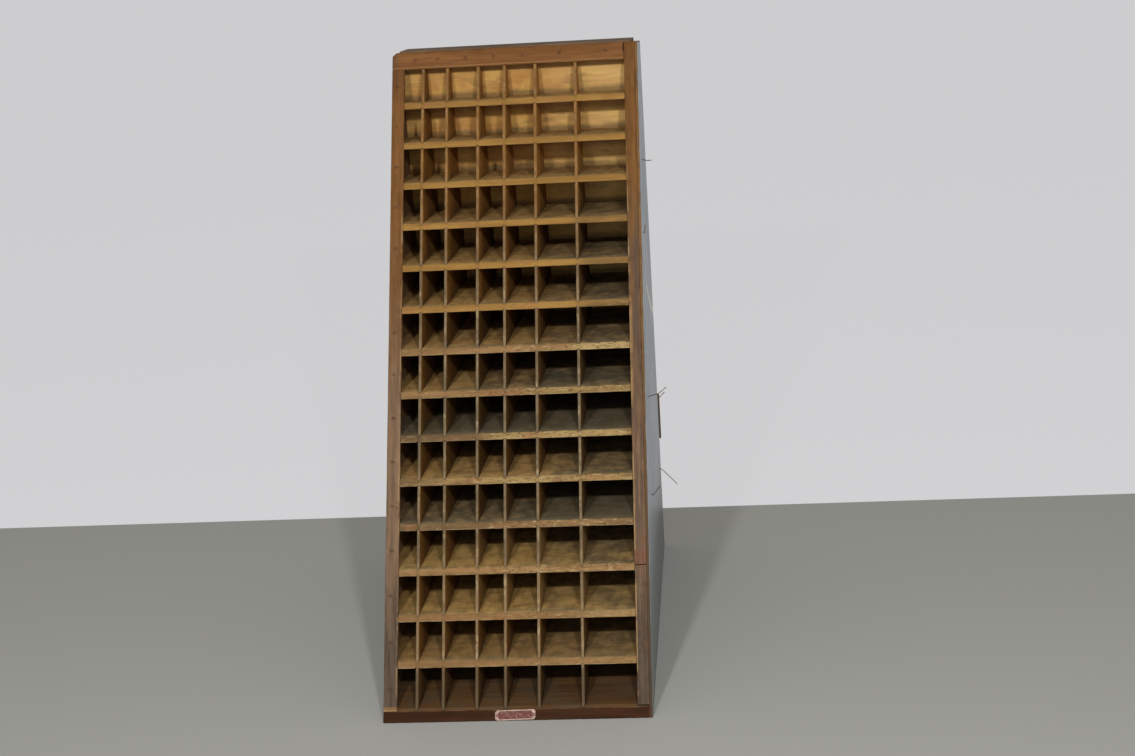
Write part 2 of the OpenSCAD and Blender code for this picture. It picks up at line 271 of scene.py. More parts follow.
def shelf_finish():
    f = Finish("bare shelf wood")
    colour = f.mix(f.on_front(), shelf_top_colour(f), shelf_front_colour(f))
    fibres = grain(f, f.place, (4, 60, 60))[1]
    patches = f.noise(f.place, (20, 60, 60), 4, 0.65)
    return f.done(colour, 0.66 + 0.2 * patches, fibres * 0.4 + patches, 0.0007, 0.08)


def shelf_front_colour(f):
    """Yellow above, duller half way down, and rubbed bright towards the right."""
    bands = grain(f, f.place, (5, 60, 60))[0]
    patches = f.noise(f.place, (16, 40, 40), 4, 0.62)
    smudge = f.noise(f.place, (7, 16, 16), 3, 0.6)
    yellow = f.mix(bands, tone(160, 121, 63), tone(140, 103, 52))
    tan = f.mix(bands, tone(150, 116, 76), tone(132, 101, 64))
    grey = f.mix(bands, tone(120, 95, 65), tone(102, 80, 54))
    bright = f.mix(bands, tone(164, 136, 88), tone(142, 116, 72))
    dull = f.mix(bands, tone(132, 101, 58), tone(112, 85, 50))

    front = f.mix((f.v + smudge * 0.1 - 0.05).ramp(0.82, 0.72), yellow, tan)
    front = f.mix(f.band(f.v, 0.32, 0.60, 0.05), front, grey)
    right_of_slant = (f.u - 0.92 * (f.v - 0.533) + smudge * 0.2 - 0.10).ramp(0.13, 0.22)
    rightward = right_of_slant * f.band(f.v, 0.40, 0.76, 0.04)
    front = f.mix(rightward * patches.ramp(0.30, 0.50), front, bright)
    tan_rows = f.band(f.v, 0.28, 0.40, 0.03) * (f.u + smudge * 0.2).ramp(0.2, 0.35)
    front = f.mix(tan_rows * 0.55, front, tan)
    dull_rows = f.u.ramp(0.35, 0.40) * f.band(f.v, 0.76, 1.01, 0.03)
    front = f.mix(dull_rows * patches.ramp(0.25, 0.50), front, dull)
    left_part = f.u.ramp(0.24, 0.10)
    front = f.mix(left_part * f.band(f.v, 1.20, 1.30, 0.03) * 0.35, front, tone(122, 84, 46))
    front = f.mix(left_part * f.v.ramp(0.27, 0.17) * 0.4, front, tone(112, 84, 52))
    right_part = f.u.ramp(0.33, 0.40)
    front = f.mix(right_part * f.band(f.v, 0.70, 0.725, 0.01) * 0.45, front, tone(198, 172, 118))
    front = f.mix(right_part * f.band(f.v, 0.18, 0.205, 0.01) * 0.25, front, tone(176, 152, 104))

    rosy = f.noise(f.place, (24, 30, 30), 3, 0.5).ramp(0.54, 0.68)
    front = f.mix(rosy * 0.35, front, tone(150, 98, 62))
    figure = f.noise(f.place, (26, 160, 160), 3, 0.65).ramp(0.48, 0.66)
    front = f.mix(figure * 0.22, front, tone(112, 80, 44))
    used = f.v.ramp(0.86, 0.72) * (0.35 + 0.65 * f.u.ramp(0.12, 0.26))
    used = used * (0.5 + 0.5 * f.v.ramp(0.15, 0.3))
    flecks = f.noise(f.place, (110, 330, 330), 3, 0.7).ramp(0.55, 0.63)
    front = f.mix(flecks * used * 0.85, front, tone(86, 60, 36))
    pale = f.noise(f.place, (70, 260, 260), 3, 0.7).ramp(0.56, 0.66)
    front = f.mix(pale * used * 0.6, front, tone(190, 168, 126))
    lower_arris = f.above_band().ramp(0.0022, 0.0008) * f.v.ramp(0.80, 0.70)
    return f.mix(lower_arris * patches.ramp(0.42, 0.55) * 0.8, front, tone(196, 176, 140))


def shelf_top_colour(f):
    """Worn wood under mottled dust: brown above, grey half way down and ochre near the foot."""
    level, depth = f.level(), f.depth()
    mottle = f.noise(f.place, (40, 34, 10), 4, 0.6)
    drift = f.noise(f.place, (15, 12, 5), 4, 0.62) * 0.4 + mottle * 0.25 + 0.175
    mottled = mottle.ramp(0.36, 0.64)
    brown = f.mix(mottled, tone(188, 150, 94), tone(168, 130, 74))
    ochre = f.mix(mottled, tone(193, 157, 94), tone(169, 133, 75))
    lowest = f.mix(mottled, tone(152, 119, 73), tone(132, 100, 58))
    grey = f.mix(mottled, tone(93, 91, 77), tone(75, 74, 62))
    top = f.mix(level.ramp(0.33, 0.30), brown, ochre)
    top = f.mix(f.band(level, 0.05, 0.155, 0.01) * 0.8, top, lowest)

    dull_rows = f.band(level, 0.50, 0.59, 0.02) * 0.34 + f.band(level, 0.335, 0.42, 0.02) * 0.20
    right_side = f.u.ramp(0.27, 0.33) * 0.14 + f.u.ramp(0.36, 0.40) * 0.05
    right_side = right_side * level.ramp(1.12, 0.92) * (0.6 + 0.4 * level.ramp(0.20, 0.33))
    row_eight = f.u.ramp(0.165, 0.185) * 0.16 + f.u.ramp(0.28, 0.31) * 0.08
    row_eight = row_eight * f.band(level, 0.60, 0.68, 0.02)
    dusty = (drift + dull_rows + f.most(right_side, row_eight)).ramp(0.46, 0.80)
    top = f.mix(dusty * 0.9, top, grey)
    by_the_front = f.band(depth, -0.01, 0.018, 0.008) * drift.ramp(0.42, 0.56)
    top = f.mix(by_the_front * 0.45, top, tone(116, 110, 86))

    streak = f.noise(f.place, (110, 10, 10), 3, 0.6)
    top = f.mix(streak.ramp(0.50, 0.66) * 0.25, top, tone(104, 84, 58))
    bands, fibres = grain(f, f.place, (5, 50, 20))
    top = f.mix(bands * 0.22, top, tone(118, 90, 58))
    top = f.mix(fibres.ramp(0.6, 0.9) * 0.25, top, tone(90, 70, 48))
    scuffs = f.noise(f.place, (60, 24, 20), 4, 0.7).ramp(0.62, 0.72)
    return f.mix(scuffs * 0.3, top, tone(184, 156, 112))


def divider_finish():
    f = Finish("thin divider wood")
    bands, fibres = grain(f, f.place, (60, 5, 60))
    blotch = f.noise(f.place, (40, 26, 20), 4, 0.62)
    side = divider_side_colour(f, bands, fibres, blotch)
    colour = f.mix(f.on_front(), side, divider_front_colour(f, blotch))
    return f.done(colour, 0.72, fibres + blotch, 0.0006, 0.08)


def divider_side_colour(f, bands, fibres, blotch):
    """Orange wood, darker below and towards the right, with painted shade darkening it towards the rear.
    """
    level = f.level()
    upper = level.ramp(0.95, 1.08)
    side = f.mix(blotch.ramp(0.38, 0.62), tone(174, 122, 58), tone(147, 101, 46))
    side = f.mix(bands * 0.3, side, tone(128, 90, 45))
    darkest = f.band(f.u, 0.11, 0.24, 0.03) * level.ramp(0.30, 0.40)
    side = f.mix(level.ramp(0.82, 0.76) * (0.40 + 0.45 * darkest), side, tone(88, 63, 26))
    dust = f.above_shelf().ramp(0.020, 0.004) * blotch.ramp(0.38, 0.55)
    side = f.mix(dust * 0.5, side, tone(100, 88, 64))
    # painted shade: the sides darken towards the rear of the cells, except in the top rows
    side = f.mix(f.depth().ramp(0.03, 0.09) * 0.55 * (1 - upper), side, tone(98, 70, 43))
    side = f.mix(f.u.ramp(0.26, 0.36) * 0.45 * (1 - upper), side, tone(98, 80, 57))
    side = f.mix(upper * f.u.ramp(0.05, 0.30) * 0.6, side, tone(208, 155, 86))
    side = f.mix(fibres.ramp(0.6, 0.95) * 0.25, side, tone(80, 58, 36))
    ochre = f.band(level, 0.195, 0.365, 0.01) * f.u.ramp(0.08, 0.30)
    side = f.mix(ochre * 0.5, side, tone(184, 150, 98))
    return f.mix(level.ramp(0.105, 0.090) * 0.6, side, tone(76, 55, 36))


def divider_front_colour(f, blotch):
    """Brown at the top and handled grey below, with pale and dark wear."""
    front = f.mix(blotch.ramp(0.36, 0.62), tone(148, 110, 66), tone(126, 90, 52))
    greyer = f.mix(blotch.ramp(0.36, 0.62), tone(134, 116, 90), tone(102, 90, 70))
    front = f.mix((f.v + blotch * 0.3 - 0.15).ramp(1.12, 0.82) * 0.9, front, greyer)
    front = f.mix(f.v.ramp(0.34, 0.22) * 0.6, front, tone(134, 110, 78))
    front = f.mix(f.band(f.v, 0.45, 0.68, 0.05) * 0.4, front, tone(104, 94, 76))
    light = f.noise(f.place, (70, 40, 40), 3, 0.6).ramp(0.54, 0.68)
    front = f.mix(light * (0.2 + 0.4 * f.v.ramp(1.0, 0.8)), front, tone(172, 152, 118))
    worn = f.noise(f.place, (120, 60, 60), 3, 0.65).ramp(0.56, 0.68)
    front = f.mix(worn * 0.5, front, tone(88, 72, 52))
    return f.mix(f.v.ramp(0.115, 0.085) * 0.85, front, tone(84, 71, 54))


def back_finish():
    f = Finish("pale back boards")
    bands, fibres = grain(f, f.place, (4, 40, 60))
    blotch = f.noise(f.place, (16, 16, 22), 4, 0.62)
    colour = f.mix(blotch.ramp(0.36, 0.64), tone(204, 158, 92), tone(184, 134, 74))
    colour = f.mix(f.u.ramp(0.25, 0.42) * 0.6, colour, tone(222, 186, 122))
    colour = f.mix(bands * 0.3, colour, tone(160, 122, 70))
    streak = f.noise(f.place, (16, 20, 130), 3, 0.6).ramp(0.50, 0.68)
    colour = f.mix(streak * 0.35, colour, tone(156, 112, 62))
    yellow = f.noise(f.place, (20, 20, 34), 3, 0.6).ramp(0.48, 0.62)
    colour = f.mix(yellow * 0.35, colour, tone(210, 176, 92))
    rosy = f.noise(f.place, (20, 20, 14), 3, 0.5).ramp(0.52, 0.66)
    colour = f.mix(rosy * 0.25, colour, tone(188, 136, 80))

    inner_face = f.facing((0, -1, 0), 0.3, 0.7)
    # painted shade: on the backs' inner face, the upper part of each cell is darkened reddish-brown under
    # the shelf above, and in the top row under the top rail
    shade_below_shelves = f.above_shelf().ramp(0.040, 0.060) * f.level().ramp(1.24, 1.22)
    shade_below_top_rail = f.above_shelf().ramp(0.054, 0.064) * f.level().ramp(1.23, 1.24)
    colour = f.mix((shade_below_shelves + shade_below_top_rail) * inner_face * 0.55, colour, tone(112, 70, 46))
    dust = (f.above_shelf() + blotch * 0.02 - 0.01).ramp(0.016, 0.004)
    colour = f.mix(dust * inner_face * 0.7, colour, tone(104, 86, 58))
    stain = f.noise(f.place, (14, 14, 30), 5, 0.65).ramp(0.54, 0.68)
    colour = f.mix(stain * 0.45, colour, tone(120, 100, 62))
    colour = f.mix(f.facing((0, 1, 0), 0.3, 0.7) * 0.55, colour, tone(122, 98, 70))
    return f.done(colour, 0.75, fibres, 0.0005, 0.1)


def old_stain(name, stretch, fresh, shade, deep=tone(84, 52, 30)):
    """Old brown stain over open grain; returns the finish and what its colour is made from."""
    f = Finish(name)
    face = f.join(f.u, f.v, f.n)
    bands, fibres = grain(f, face, stretch)
    colour = f.mix(bands, fresh, shade)
    colour = f.mix(fibres.ramp(0.55, 0.95) * 0.4, colour, deep)
    blotch = f.noise(face, (16, 9, 16), 5, 0.64)
    return f, face, colour, fibres, blotch


def nearest_of(f, gaps):
    """The least of the gaps, each a distance."""
    nearest = gaps[0]
    for gap in gaps[1:]:
        nearest = f.least(nearest, gap)
    return nearest


def nail_stains(f, places):
    """Distance to the nearest of the places, given as u and v in metres."""
    here = f.join(f.u, f.v, 0.0)
    return nearest_of(f, [f.vector("DISTANCE", here, (u, v, 0.0), "Value") for u, v in places])


def column_left(column):
    return LEFT_STILE_W + sum(COLUMNS[:column]) + column * DIVIDER_T


def row_middle(row):
    low = LOWEST_SHELF + (LAST_ROW - 1 - row) * ROW_PITCH + SHELF_BAND
    high = LOWEST_SHELF + (LAST_ROW - row) * ROW_PITCH
    if row == LAST_ROW:
        low = BOTTOM_RAIL_H
    if row == 1:
        high = FACE_LEN - TOP_RAIL_H
    return (low + high) / 2


def stile_finish():
    f, face, colour, fibres, blotch = old_stain(
        "stained stile", (60, 4, 60), tone(126, 86, 45), tone(108, 72, 36))
    streak = f.noise(face, (110, 7, 110), 4, 0.6)
    right_stile = f.u.ramp(0.2, 0.3)
    faded = f.mix(streak.ramp(0.4, 0.62), tone(128, 103, 80), tone(106, 84, 64))
    colour = f.mix((f.v + blotch * 0.4 - 0.2).ramp(1.02, 0.50) * 0.95, colour, faded)
    colour = f.mix(f.v.ramp(1.22, 1.30) * f.u.ramp(0.3, 0.2) * 0.5, colour, tone(92, 58, 32))
    violet = f.mix(streak.ramp(0.44, 0.60), tone(104, 80, 56), tone(84, 70, 62))
    violet_part = right_stile * f.band(f.v, 0.34, 1.0, 0.08) * streak.ramp(0.36, 0.50)
    colour = f.mix(violet_part * 0.75, colour, violet)
    foot = f.mix(streak.ramp(0.4, 0.6), tone(90, 75, 62), tone(74, 60, 48))
    colour = f.mix((f.v + blotch * 0.3 - 0.15).ramp(0.34, 0.12), colour, foot)
    warm = f.noise(face, (40, 14, 40), 4, 0.6).ramp(0.54, 0.68)
    colour = f.mix(warm * 0.3, colour, tone(132, 86, 54))
    dark_middle = right_stile * f.band(f.v, 0.58, 0.74, 0.05)
    colour = f.mix(dark_middle * 0.4, colour, tone(84, 66, 54))
    red_mend = f.band(f.v + blotch * 0.01, 0.289, 0.316, 0.006) * f.u.ramp(0.462, 0.474)
    colour = f.mix(red_mend * 0.4, colour, tone(122, 66, 46))
    scratches = f.noise(face, (40, 260, 40), 4, 0.7).ramp(0.62, 0.74) * f.v.ramp(1.1, 0.9)
    colour = f.mix(scratches * 0.3, colour, tone(160, 136, 110))
    colour = rubbed_arrises(f, face, colour)
    colour = bare_left_foot(f, colour, fibres, blotch)
    specks = f.noise(face, (260, 200, 260), 2, 0.5).ramp(0.66, 0.74)
    colour = f.mix(specks * 0.4, colour, tone(70, 50, 38))
    nails = [(STILE_NAIL_U, row_middle(row)) for row in range(1, LAST_ROW + 1)]
    stain = (nail_stains(f, nails) + blotch * 0.004).ramp(0.0070, 0.0035)
    colour = f.mix(stain * 0.35, colour, tone(78, 52, 36))
    return f.done(colour, 0.52 + 0.3 * blotch, fibres - specks * 0.5, 0.0006, 0.12)


def rubbed_arrises(f, face, colour):
    """Pale wear along the stiles' arrises, most on those next to the cells."""
    rub = f.noise(face, (30, 12, 30), 4, 0.65).ramp(0.42, 0.58)
    left = f.band(f.u, LEFT_STILE_W - 0.0027, LEFT_STILE_W + 0.0015, 0.0010)
    right = f.band(f.u, RIGHT_STILE_U - 0.0015, RIGHT_STILE_U + 0.0025, 0.0010)
    inner = (left * 0.8 + right) * rub * f.v.ramp(1.2, 0.9)
    colour = f.mix(inner * 0.75, colour, tone(176, 142, 98))
    wide = f.band(f.u, RIGHT_STILE_U - 0.0015, RIGHT_STILE_U + 0.0060, 0.0012)
    wide = wide * f.band(f.v, 0.60, 0.86, 0.04)
    colour = f.mix(wide * rub * 0.6, colour, tone(156, 120, 78))
    outer = f.u.ramp(0.0030, 0.0008) * f.noise(face, (30, 20, 30), 4, 0.65).ramp(0.48, 0.62)
    return f.mix(outer * 0.5, colour, tone(150, 114, 80))


def bare_left_foot(f, colour, fibres, blotch):
    """Bare wood at the foot of the left stile, palest below."""
    left = f.u.ramp(0.10, 0.05)
    bare = f.mix(fibres, tone(142, 108, 70), tone(122, 90, 56))
    colour = f.mix((f.v + blotch * 0.003).ramp(0.0320, 0.0300) * left * 0.85, colour, bare)
    return f.mix(f.v.ramp(0.0246, 0.0230) * left * 0.7, colour, tone(182, 150, 106))


def rail_finish():
    f, face, colour, fibres, blotch = old_stain(
        "stained rail", (4, 60, 60), tone(132, 88, 48), tone(116, 75, 40))
    rail_low = FACE_LEN - TOP_RAIL_H
    colour = f.mix(blotch.ramp(0.5, 0.7) * 0.4, colour, tone(112, 76, 46))
    nails = [(column_left(i) + width * NAIL_SHARE, FACE_LEN - TOP_RAIL_H / 2)
             for i, width in enumerate(COLUMNS)]
    stain = (nail_stains(f, nails) + blotch * 0.004).ramp(0.0080, 0.0040)
    colour = f.mix(stain * 0.4, colour, tone(96, 56, 32))
    colour = f.mix((f.u + blotch * 0.02).ramp(0.026, 0.012) * 0.55, colour, tone(88, 66, 48))
    low_arris = f.v.ramp(rail_low + 0.0035, rail_low + 0.0007)
    colour = f.mix(low_arris * 0.5, colour, tone(164, 122, 76))
    top_arris = f.v.ramp(FACE_LEN - 0.004, FACE_LEN - 0.001) * blotch.ramp(0.42, 0.55)
    colour = f.mix(top_arris * 0.5, colour, tone(86, 60, 40))
    crack = f.u.ramp(RIGHT_STILE_U - 0.0032, RIGHT_STILE_U - 0.0018) * f.band(f.v, 1.331, 1.349, 0.0015)
    colour = f.mix(crack * 0.85, colour, tone(48, 28, 18))
    specks = f.noise(face, (220, 260, 260), 2, 0.5).ramp(0.66, 0.73)
    colour = f.mix(specks * 0.4, colour, tone(76, 48, 30))
    return f.done(colour, 0.50 + 0.3 * blotch, fibres, 0.0006, 0.12)


def bottom_rail_finish():
    f, face, colour, fibres, blotch = old_stain(
        "dark bottom rail", (4, 50, 50), tone(64, 40, 24), tone(52, 31, 18), tone(44, 26, 16))
    red = f.noise(face, (12, 30, 30), 4, 0.6).ramp(0.50, 0.68)
    colour = f.mix(red * 0.4, colour, tone(82, 40, 26))
    ragged = f.noise(face, (40, 10, 40), 4, 0.65)
    top_arris = (f.v + ragged * 0.004).ramp(BOTTOM_RAIL_H + 0.0004, BOTTOM_RAIL_H + 0.0016)
    colour = f.mix(top_arris * 0.75, colour, tone(132, 102, 72))
    colour = f.mix(f.u.ramp(0.4900, 0.4925) * 0.3, colour, tone(110, 58, 32))
    colour = f.mix(f.v.ramp(0.0035, 0.0010) * 0.5, colour, tone(42, 31, 25))
    return f.done(colour, 0.55 + 0.3 * blotch, fibres, 0.0005, 0.05)


def line_gap(f, start, end):
    """Distance to the straight line between two points, given as y and z in metres."""
    start = Vector((0, *start))
    along = Vector((0, *end)) - start
    direction = along.normalized()
    here = f.join(0.0, f.y, f.z)
    run = f.vector("DOT_PRODUCT", f.vector("SUBTRACT", here, start), direction, "Value")
    run = f.least(f.most(run, 0.0), along.length)
    nearest = f.vector("ADD", f.vector("MULTIPLY", f.join(run, run, run), direction), start)
    return f.vector("DISTANCE", here, nearest, "Value")


# the brushed cream line on the right side, as y and z in metres
CREAM_LINE = (
    (0.155, 0.790), (0.146, 0.735), (0.170, 0.665), (0.245, 0.620), (0.350, 0.570), (0.423, 0.540))


def side_finish():
    """Blue-grey paint outside, with painted reflections of the pale backdrop and the darker floor, and
    bare wood on the edges and inside.
    """
    f = Finish("blue-grey painted side")
    outside = abs(f.x).ramp(CASE_W / 2 - 0.0016, CASE_W / 2 - 0.0008)
    outside = outside * abs(f.split(f.normal, "X")).ramp(0.3, 0.7)
    smear = f.noise(f.place, (5, 5, 9), 5, 0.62)
    worn = f.noise(f.place, (24, 24, 24), 5, 0.7)
    bands, fibres = grain(f, f.place, (60, 45, 5))
    colour = f.mix(outside, bare_side_colour(f, bands, smear, worn), side_paint_colour(f, smear, worn))
    height = fibres * (1 - outside) + (smear + worn * 0.4) * outside
    return f.done(colour, 0.78 - outside * 0.48 + outside * worn * 0.2, height, 0.0004, 0.4)


def side_paint_colour(f, smear, worn):
    runs = f.noise(f.place, (30, 30, 5), 4, 0.6)
    # the pale blue-grey holds the paint's own colour together with a painted reflection of the pale
    # backdrop
    paint = f.mix(smear.ramp(0.36, 0.64), tone(160, 166, 170), tone(138, 146, 150))
    paint = f.mix(runs.ramp(0.50, 0.7) * 0.35, paint, tone(164, 168, 168))
    # darker towards the bottom: a painted reflection of the darker floor in the glossy paint
    floor_reflection = (f.z + smear * 0.25).ramp(0.41, 0.21)
    paint = f.mix(floor_reflection * 0.85, paint, tone(94, 98, 93))
    paint = f.mix(worn.ramp(0.66, 0.72) * 0.6, paint, tone(112, 94, 74))
    line = nearest_of(f, [line_gap(f, start, end) for start, end in zip(CREAM_LINE, CREAM_LINE[1:])])
    cream = (line + (smear - 0.5) * 0.004).ramp(0.0075, 0.0050) * f.x.ramp(0.0, 0.1)
    return f.mix(cream * 0.95, paint, tone(232, 226, 198))


def bare_side_colour(f, bands, smear, worn):
    bare = f.mix(bands, tone(140, 102, 60), tone(112, 82, 48))
    lip = f.mix((f.v + smear * 0.2).ramp(0.05, 1.15), tone(64, 49, 32), tone(120, 86, 46))
    lip = f.mix(worn.ramp(0.48, 0.62) * 0.5, lip, tone(74, 56, 38))
    rear = f.mix(bands, tone(122, 100, 74), tone(92, 76, 58))
    upper = f.mix(bands, tone(110, 96, 80), tone(84, 72, 60))
    bare = f.mix(f.on_front(), bare, lip)
    bare = f.mix(f.facing((0, 1, 0), 0.6, 0.9), bare, rear)
    return f.mix(f.facing((0, 0, 1), 0.6, 0.9), bare, upper)


def weathered_finish():
    f = Finish("weathered board")
    bands, fibres = grain(f, f.place, (4, 50, 50))
    colour = f.mix(bands, tone(116, 92, 70), tone(94, 74, 56))
    dust = f.noise(f.place, (12, 12, 12), 5, 0.62).ramp(0.4, 0.62)
    colour = f.mix(dust * 0.5, colour, tone(120, 108, 90))
    # the bottom board is darker than the top board, which shares this finish
    bottom = f.mix(bands, tone(98, 70, 41), tone(80, 56, 34))
    bottom = f.mix(dust * 0.5, bottom, tone(84, 74, 58))
    colour = f.mix(f.z.ramp(0.6, 0.4), colour, bottom)
    return f.done(colour, 0.8, fibres, 0.0006, 0.08)


def iron_finish(name, dark, rust, metallic=0.35):
    f = Finish(name)
    spots = f.noise(f.place, (900, 900, 900), 4, 0.6)
    colour = f.mix(spots.ramp(0.4, 0.62), dark, rust)
    return f.done(colour, 0.5 + 0.35 * spots, spots, 0.0002, 0.4, metallic)


def plate_finish(name, clean, worn, rough):
    f = Finish(name)
    spots = f.noise(f.place, (260, 260, 260), 4, 0.65)
    smudge = f.noise(f.place, (60, 60, 60), 3, 0.6)
    colour = f.mix(spots.ramp(0.48, 0.62) * 0.75, clean, worn)
    colour = f.mix(smudge.ramp(0.50, 0.66) * 0.4, colour, tone(96, 66, 56))
    return f.done(colour, rough + 0.2 * spots, spots, 0.0002, 0.4)


FINISHES = {
    "painted_side": side_finish(),
    "back_pine": back_finish(),
    "shelf_wood": shelf_finish(),
    "divider_wood": divider_finish(),
    "trim_wood": stile_finish(),
    "rail": rail_finish(),
    "dark_trim_wood": bottom_rail_finish(),
    "weathered_board": weathered_finish(),
    "nail_iron": iron_finish("rusty nail iron", tone(80, 56, 40), tone(104, 70, 46), 0.2),
    "plate_enamel": plate_finish("red plate enamel", tone(98, 44, 38), tone(136, 104, 90), 0.6),
    "plate_border": plate_finish("pale plate border", tone(188, 162, 144), tone(140, 108, 92), 0.6),
    "plate_pin": iron_finish("plate pin", tone(150, 112, 96), tone(110, 64, 52)),
    "wire_iron": iron_finish("wire iron", tone(84, 80, 74), tone(108, 88, 68)),
    "rod_rust": iron_finish("rod rust", tone(72, 58, 46), tone(100, 78, 58), 0.1),
}
OWN_FINISH = {"top_rail": "rail", "hanging_rod": "rod_rust"}
slot_of = {part["node"]: part["material_slot"] for part in frame["record"]["subparts"]}


def finish_of(name):
    return FINISHES[OWN_FINISH.get(name, slot_of[name])]


for name, node in frame["nodes"].items():
    node.data.materials.clear()
    node.data.materials.append(finish_of(name))

# ---- boards with eased and chipped edges ----

WELD_GAP = 2e-6
FLAT_ANGLE = 0.02
ARRIS_ANGLE = 0.3
SMOOTH_ANGLE = math.radians(38)
WIDE_FACE = 0.0003       # faces of more square metres than this are shaded flat
CHIP_DEPTH = 0.006       # points further behind the front than this keep their place
WORN_DEPTH = 0.008       # a cut here keeps the wear out of the long faces behind it
WOBBLE = 26              # slow waves of wear along an edge, per metre
BITES = 95               # small chips along it, per metre
BITE_FLOOR = 0.12
RAIL_GAP = 0.0009
DIVIDER_REACH = 0.045    # the cuts run this far below and above the middle of a row
STILE_MIDDLE = RIGHT_STILE_U + RIGHT_STILE_W / 2


def shape_of(name):
    """The CAD node's own shape, its flat faces joined up again."""
    shape = bmesh.new()
    shape.from_mesh(frame["nodes"][name].data)
    bmesh.ops.remove_doubles(shape, verts=shape.verts[:], dist=WELD_GAP)
    bmesh.ops.dissolve_limit(
        shape, angle_limit=FLAT_ANGLE, verts=shape.verts[:], edges=shape.edges[:])
    return shape


def ease(shape, width, shortest=0.0035):
    """Rounds the arrises that are longer than shortest."""
    arrises = [edge for edge in shape.edges if len(edge.link_faces) == 2
               and edge.calc_face_angle(0) > ARRIS_ANGLE and edge.calc_length() > shortest]
    bmesh.ops.bevel(shape, geom=arrises, offset=width, segments=2, profile=0.5,
                    affect="EDGES", clamp_overlap=True)


def cut_across(shape, at, direction):
    """Adds edges where the plane through at, square to direction, meets the board."""
    bmesh.ops.bisect_plane(
        shape, geom=shape.verts[:] + shape.edges[:] + shape.faces[:],
        plane_co=at, plane_no=direction, dist=1e-6)


def slice_up(shape, direction, start, stop, step):
    """Cuts across the board every step metres, so that its edges can be worn."""
    for i in range(1, int((stop - start) / step)):
        cut_across(shape, FACE_CORNER + direction * (start + i * step), direction)


def chip(shape, amount, seed):
    """Presses points near the open front in by up to amount metres, most along the arrises."""
    shape.normal_update()
    moves = []
    for vert in shape.verts:
        local = vert.co - FACE_CORNER
        if local.dot(OUT_OF_FACE) < -CHIP_DEPTH:
            continue
        u, v = local.x, local.dot(UP_SLOPE)
        wobble = noise.noise(Vector((u * WOBBLE, v * WOBBLE, seed))) * 0.5 + 0.5
        bite = max(0.0, noise.noise(Vector((u * BITES, v * BITES, seed + 7.3))) - BITE_FLOOR)
        arris = 1 - max(abs(vert.normal.dot(axis)) for axis in (OUT_OF_FACE, UP_SLOPE, X_AXIS))
        press = amount * (0.22 * wobble + min(1.0, arris * 5) * (0.25 * wobble + 1.9 * bite))
        moves.append((vert, vert.normal * press))
    for vert, move in moves:
        vert.co -= move


def finished_piece(shape, name, finish, replaced=()):
    mesh = bpy.data.meshes.new(name)
    shape.to_mesh(mesh)
    shape.free()
    mesh.materials.append(finish)
    mesh.shade_smooth()
    mesh.set_sharp_from_angle(angle=SMOOTH_ANGLE)
    for face in mesh.polygons:
        face.use_smooth = face.area < WIDE_FACE
    piece = bpy.data.objects.new(name, mesh)
    bpy.context.scene.collection.objects.link(piece)
    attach(piece, "root")
    if replaced:
        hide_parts(*replaced)


def worn_board(name, width, cuts, amount, seed, end=None):
    """Puts a worn board in the place of a CAD one; end moves points by their u and v."""
    shape = shape_of(name)
    ease(shape, width)
    cut_across(shape, FACE_CORNER - OUT_OF_FACE * WORN_DEPTH, OUT_OF_FACE)
    if cuts:
        slice_up(shape, *cuts)
    chip(shape, amount, seed)
    if end:
        for vert in shape.verts:
            local = vert.co - FACE_CORNER
            vert.co += end(local.x, local.dot(UP_SLOPE))
    finished_piece(shape, "worn_" + name, finish_of(name), (name,))


def rail_end(u, v):
    """Closes the crack at the rail's right end below its upper half."""
    return X_AXIS * (RAIL_GAP if u > RIGHT_STILE_U - 0.0015 and v < 1.334 else 0.0)


def rounded_foot(u, v):
    """Wears the foot of the right stile round."""
    worn = 0.0035 + 45 * (u - STILE_MIDDLE) ** 2
    return UP_SLOPE * (worn if v < BOTTOM_RAIL_H + 0.0015 else 0.0)


for k in range(1, LAST_ROW):
    rubbed = 0.35 + 0.65 * math.exp(-((k - 10) / 3.5) ** 2)
    worn_board(f"shelf_{k:02d}", 0.0008, (X_AXIS, 0.01, 0.49, 0.005), 0.0013 * rubbed, 3.1 * k)
for row in range(1, LAST_ROW + 1):
    low = row_middle(row) - DIVIDER_REACH
    cuts = (UP_SLOPE, low, low + 2 * DIVIDER_REACH, 0.006)
    worn_board(f"row_{row:02d}_dividers", 0.0006, cuts, 0.0006, 5.7 * row)
worn_board("left_stile", 0.0011, (UP_SLOPE, 0.0, FACE_LEN, 0.006), 0.0010, 1.9)
worn_board("right_stile_upper", 0.0011, (UP_SLOPE, 0.25, FACE_LEN, 0.006), 0.0010, 11.3)
worn_board("right_stile_lower", 0.0012, (UP_SLOPE, 0.0, 0.30, 0.005), 0.0012, 17.7, rounded_foot)
worn_board("top_rail", 0.0011, (X_AXIS, 0.0, 0.48, 0.006), 0.0010, 23.1, rail_end)
worn_board("bottom_rail", 0.0012, (X_AXIS, 0.0, CASE_W, 0.005), 0.0012, 29.9)
worn_board("left_side_panel", 0.0010, None, 0.0009, 41.7)
worn_board("right_side_panel", 0.0010, (UP_SLOPE, 0.0, FACE_LEN, 0.008), 0.0009, 41.7)
worn_board("top_board", 0.0010, None, 0.0009, 41.7)
worn_board("bottom_board", 0.0010, None, 0.0009, 41.7)
for i in range(1, BACK_BOARDS + 1):
    worn_board(f"back_board_{i}", 0.0010, None, 0.0, 51.7)


# ---- nameplate ----

def on_face(u, v, turn):
    """A frame on the open front: +X right, +Y up the slope, +Z out of the front."""
    face = Matrix((X_AXIS, UP_SLOPE, OUT_OF_FACE)).transposed().to_4x4()
    origin = FACE_CORNER + X_AXIS * u + UP_SLOPE * v
    return Matrix.Translation(origin) @ face @ Matrix.Rotation(turn, 4, "Z")


